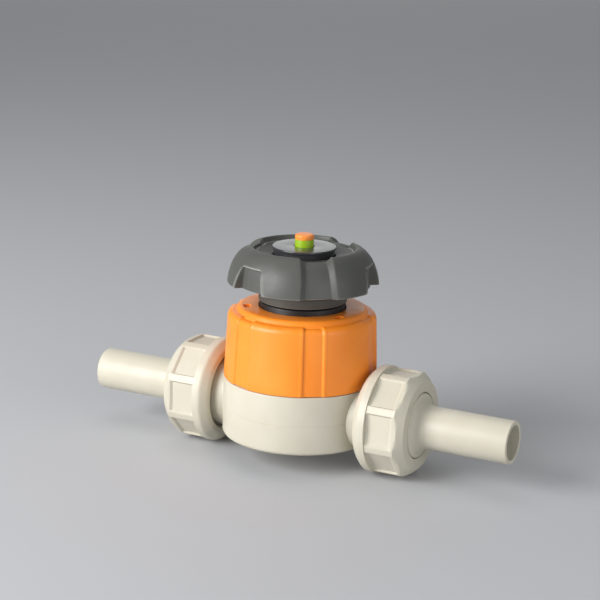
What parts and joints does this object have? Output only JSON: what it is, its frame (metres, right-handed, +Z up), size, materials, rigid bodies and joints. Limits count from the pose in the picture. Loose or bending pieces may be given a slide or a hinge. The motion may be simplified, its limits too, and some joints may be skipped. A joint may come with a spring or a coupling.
{
  "type": "diaphragm valve",
  "caption": "Compact plastic weir diaphragm valve with union spigot ends, a screwed housing nut, a lobed handwheel and a rising position indicator.",
  "frame": {"origin": "middle of the flat mounting base under the body", "axes": "+Z up along the spindle, +X along the pipe towards the right end"},
  "size_m": [0.216, 0.0728, 0.1078],
  "materials": {
    "pp_beige": "moulded polypropylene, satin",
    "nut_orange": "moulded glass-filled polypropylene, orange, satin gloss",
    "wheel_grey": "moulded glass-filled polypropylene, charcoal, fine grain",
    "disc_grey": "polished moulded cover",
    "bonnet_black": "moulded glass-filled polypropylene, black",
    "cap_orange": "moulded indicator cap, orange",
    "stem_green": "moulded indicator ring, green",
    "rubber_black": "EPDM",
    "brass": "turned",
    "steel": "turned stainless steel",
    "slide_white": "low-friction sliding plastic"
  },
  "bodies": {
    "base": {"valve_body": "pp_beige", "mounting_insert_front": "brass", "mounting_insert_back": "brass", "face_seal_left": "rubber_black", "face_seal_right": "rubber_black"},
    "bonnet_unit": {"bonnet": "bonnet_black", "bonnet_o_ring": "rubber_black", "slide_ring": "slide_white", "diaphragm": "rubber_black", "thrust_washer_lower": "slide_white", "thrust_washer_upper": "slide_white"},
    "housing_ring": {"housing_nut": "nut_orange"},
    "wheel": {"handwheel": "wheel_grey", "cover_disc": "disc_grey", "indicator_seal": "rubber_black", "spindle_nut": "brass", "retaining_ring": "steel"},
    "stem": {"spindle": "steel", "spindle_o_ring": "rubber_black", "indicator_stem": "stem_green", "indicator_cap": "cap_orange", "compressor": "bonnet_black", "compressor_pin": "steel", "diaphragm_stud": "steel"},
    "left_end": {"union_end_left": "pp_beige"},
    "left_nut": {"union_nut_left": "pp_beige"},
    "right_end": {"union_end_right": "pp_beige"},
    "right_nut": {"union_nut_right": "pp_beige"}
  },
  "joints": [
    {"name": "bonnet_lift", "type": "slide", "parent": "base", "child": "bonnet_unit", "axis": [0, 0, 1], "range_m": [0, 0.01]},
    {"name": "housing_nut_turn", "type": "hinge", "parent": "bonnet_unit", "child": "housing_ring", "pos_m": [0, 0, 0.045], "axis": [0, 0, 1], "range_deg": [0, 900]},
    {"name": "handwheel_turn", "type": "hinge", "parent": "bonnet_unit", "child": "wheel", "pos_m": [0, 0, 0.08], "axis": [0, 0, 1], "range_deg": [-630, 0]},
    {"name": "stem_travel", "type": "slide", "parent": "bonnet_unit", "child": "stem", "axis": [0, 0, 1], "range_m": [-0.00705, 0], "deforming": ["diaphragm"]},
    {"name": "left_end_slide", "type": "slide", "parent": "base", "child": "left_end", "axis": [-1, 0, 0], "range_m": [0, 0.0101]},
    {"name": "left_nut_turn", "type": "hinge", "parent": "left_end", "child": "left_nut", "pos_m": [-0.05, 0, 0.014], "axis": [-1, 0, 0], "range_deg": [0, 900]},
    {"name": "right_end_slide", "type": "slide", "parent": "base", "child": "right_end", "axis": [1, 0, 0], "range_m": [0, 0.0101]},
    {"name": "right_nut_turn", "type": "hinge", "parent": "right_end", "child": "right_nut", "pos_m": [0.05, 0, 0.014], "axis": [1, 0, 0], "range_deg": [0, 900]}
  ],
  "couplings": [
    {"joint": "housing_nut_turn", "follows": "bonnet_lift", "rad_per_m": 1570.8},
    {"joint": "stem_travel", "follows": "handwheel_turn", "m_per_rad": 0.00063662},
    {"joint": "left_end_slide", "follows": "left_nut_turn", "m_per_rad": 0.00063662},
    {"joint": "right_end_slide", "follows": "right_nut_turn", "m_per_rad": 0.00063662}
  ]
}
